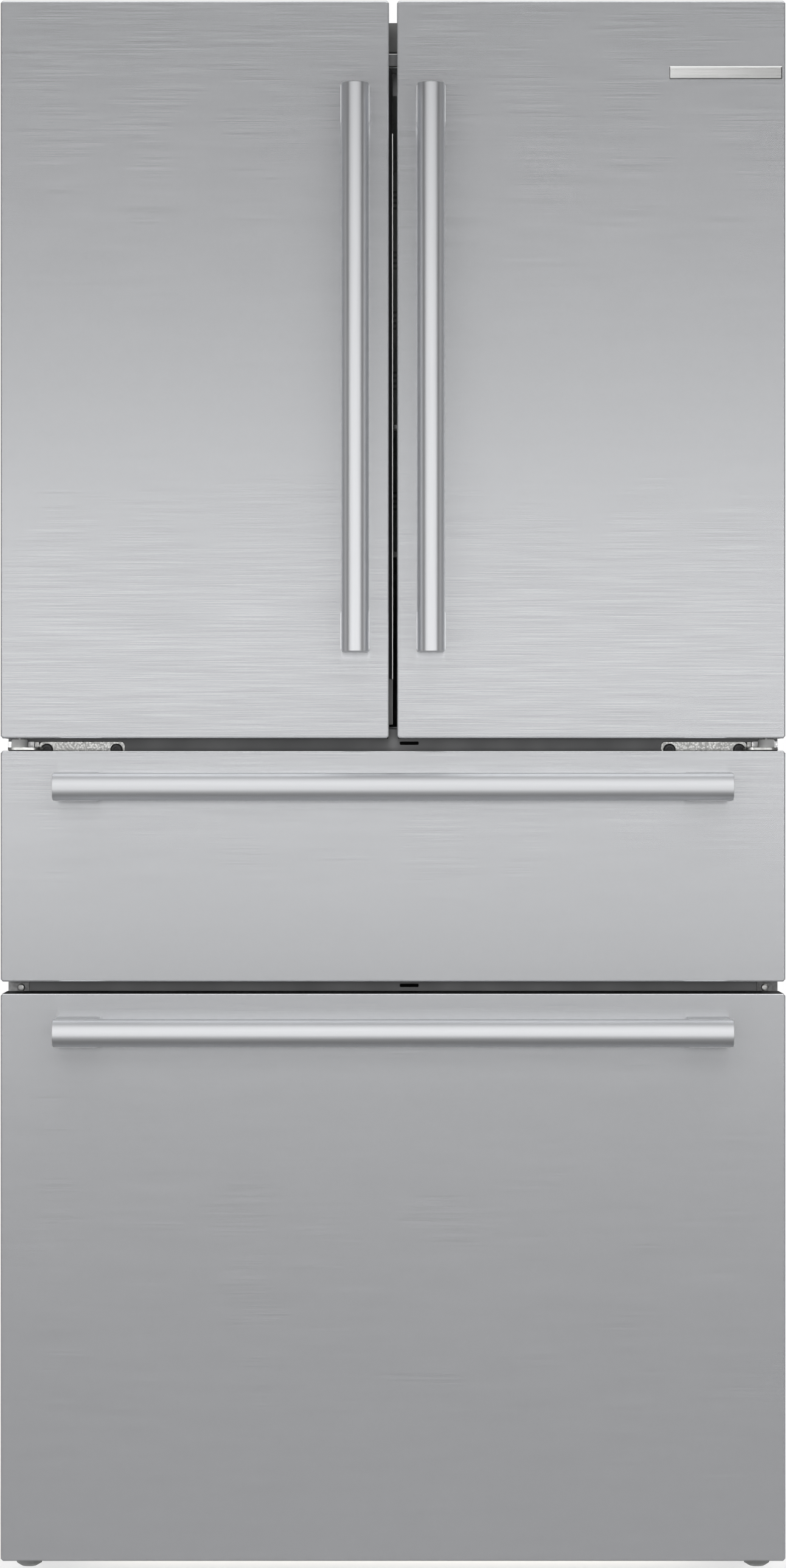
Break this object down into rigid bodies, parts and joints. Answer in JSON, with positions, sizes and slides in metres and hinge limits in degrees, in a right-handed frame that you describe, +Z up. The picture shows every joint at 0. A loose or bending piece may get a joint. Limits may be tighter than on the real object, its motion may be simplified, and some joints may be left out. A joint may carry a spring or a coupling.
{
  "type": "refrigerator",
  "caption": "Counter-depth french door refrigerator with two swing doors over a wide drawer and a freezer drawer, with bar handles.",
  "frame": {"origin": "on the floor, at the centre of the whole footprint, handles included", "axes": "+Z up, -Y out of the front, +X to the right of a person facing the front"},
  "size_m": [0.905, 0.79, 1.8233],
  "materials": {
    "stainless": "satin",
    "handle_metal": "satin",
    "case_paint": "matte",
    "galvanised": "satin",
    "cover_plastic": "matte",
    "white_liner": "satin",
    "foam": "matte",
    "compressor_paint": "satin",
    "hinge_zinc": "satin",
    "shelf_glass": "gloss",
    "slide_steel": "satin",
    "seal": "matte",
    "clear_plastic": "gloss",
    "drawer_plastic": "satin",
    "foot_plastic": "matte",
    "roller_nylon": "matte"
  },
  "bodies": {
    "cabinet": {"cabinet_foam": "foam", "outer_wrapper": "case_paint", "front_frame": "case_paint", "rear_panel": "galvanised", "machine_cover": "cover_plastic", "fresh_food_liner": "white_liner", "middle_liner": "white_liner", "freezer_liner": "white_liner", "base_frame": "galvanised", "compressor": "compressor_paint", "middle_hinge_left": "hinge_zinc", "middle_hinge_right": "hinge_zinc", "top_hinge_left": "hinge_zinc", "top_hinge_right": "hinge_zinc", "top_cover": "cover_plastic", "crisper_cover": "shelf_glass", "full_shelf": "shelf_glass", "left_half_shelf": "shelf_glass", "right_half_shelf": "shelf_glass", "air_duct": "white_liner", "upper_rail_left": "slide_steel", "upper_rail_right": "slide_steel", "freezer_rail_left": "slide_steel", "freezer_rail_right": "slide_steel"},
    "left_door": {"left_door_skin": "stainless", "left_door_liner": "white_liner", "left_door_gasket": "seal", "left_door_handle": "handle_metal", "left_door_bin_lower": "clear_plastic", "left_door_bin_upper": "clear_plastic"},
    "right_door": {"right_door_skin": "stainless", "right_door_liner": "white_liner", "right_door_gasket": "seal", "right_door_handle": "handle_metal", "right_door_bin_lower": "clear_plastic", "right_door_bin_upper": "clear_plastic", "name_plate": "handle_metal"},
    "mullion": {"centre_mullion": "cover_plastic"},
    "upper_drawer": {"upper_drawer_skin": "stainless", "upper_drawer_liner": "white_liner", "upper_drawer_gasket": "seal", "upper_drawer_handle": "handle_metal", "upper_drawer_box": "drawer_plastic"},
    "upper_slides": {"upper_slide_left": "slide_steel", "upper_slide_right": "slide_steel"},
    "freezer_drawer": {"freezer_drawer_skin": "stainless", "freezer_drawer_liner": "white_liner", "freezer_drawer_gasket": "seal", "freezer_drawer_handle": "handle_metal", "freezer_drawer_box": "drawer_plastic"},
    "freezer_slides": {"freezer_slide_left": "slide_steel", "freezer_slide_right": "slide_steel"},
    "tray": {"freezer_tray": "drawer_plastic"},
    "crisper_left": {"left_crisper": "clear_plastic"},
    "crisper_right": {"right_crisper": "clear_plastic"},
    "fan": {"condenser_fan": "cover_plastic"},
    "foot_left": {"front_foot_left": "foot_plastic"},
    "foot_right": {"front_foot_right": "foot_plastic"},
    "roller_left": {"rear_roller_left": "roller_nylon"},
    "roller_right": {"rear_roller_right": "roller_nylon"}
  },
  "joints": [
    {"name": "left_door_hinge", "type": "hinge", "parent": "cabinet", "child": "left_door", "pos_m": [-0.4335, -0.294, 0.9731], "axis": [0, 0, -1], "range_deg": [0, 120]},
    {"name": "right_door_hinge", "type": "hinge", "parent": "cabinet", "child": "right_door", "pos_m": [0.4335, -0.294, 0.9731], "axis": [0, 0, 1], "range_deg": [0, 120]},
    {"name": "mullion_fold", "type": "hinge", "parent": "left_door", "child": "mullion", "pos_m": [-0.044, -0.2368, 0.99], "axis": [0, 0, 1], "range_deg": [0, 90]},
    {"name": "upper_drawer_slide", "type": "slide", "parent": "cabinet", "child": "upper_drawer", "axis": [0, -1, 0], "range_m": [0, 0.42]},
    {"name": "upper_middle_slide", "type": "slide", "parent": "cabinet", "child": "upper_slides", "axis": [0, -1, 0], "range_m": [0, 0.21]},
    {"name": "freezer_drawer_slide", "type": "slide", "parent": "cabinet", "child": "freezer_drawer", "axis": [0, -1, 0], "range_m": [0, 0.44]},
    {"name": "freezer_middle_slide", "type": "slide", "parent": "cabinet", "child": "freezer_slides", "axis": [0, -1, 0], "range_m": [0, 0.22]},
    {"name": "tray_slide", "type": "slide", "parent": "freezer_drawer", "child": "tray", "axis": [0, 1, 0], "range_m": [0, 0.12]},
    {"name": "left_crisper_slide", "type": "slide", "parent": "cabinet", "child": "crisper_left", "axis": [0, -1, 0], "range_m": [0, 0.07]},
    {"name": "right_crisper_slide", "type": "slide", "parent": "cabinet", "child": "crisper_right", "axis": [0, -1, 0], "range_m": [0, 0.07]},
    {"name": "condenser_fan_spin", "type": "hinge", "parent": "cabinet", "child": "fan", "pos_m": [0.062, 0.29, 0.128], "axis": [1, 0, 0], "continuous": true},
    {"name": "left_foot_turn", "type": "hinge", "parent": "cabinet", "child": "foot_left", "pos_m": [-0.4288, -0.213, 0], "axis": [0, 0, 1], "continuous": true},
    {"name": "right_foot_turn", "type": "hinge", "parent": "cabinet", "child": "foot_right", "pos_m": [0.4288, -0.213, 0], "axis": [0, 0, 1], "continuous": true},
    {"name": "left_roller_spin", "type": "hinge", "parent": "cabinet", "child": "roller_left", "pos_m": [-0.424, 0.34, 0.019], "axis": [1, 0, 0], "continuous": true},
    {"name": "right_roller_spin", "type": "hinge", "parent": "cabinet", "child": "roller_right", "pos_m": [0.424, 0.34, 0.019], "axis": [1, 0, 0], "continuous": true}
  ],
  "couplings": [
    {"joint": "mullion_fold", "follows": "left_door_hinge", "ratio": 0.75},
    {"joint": "upper_middle_slide", "follows": "upper_drawer_slide", "ratio": 0.5},
    {"joint": "freezer_middle_slide", "follows": "freezer_drawer_slide", "ratio": 0.5}
  ]
}
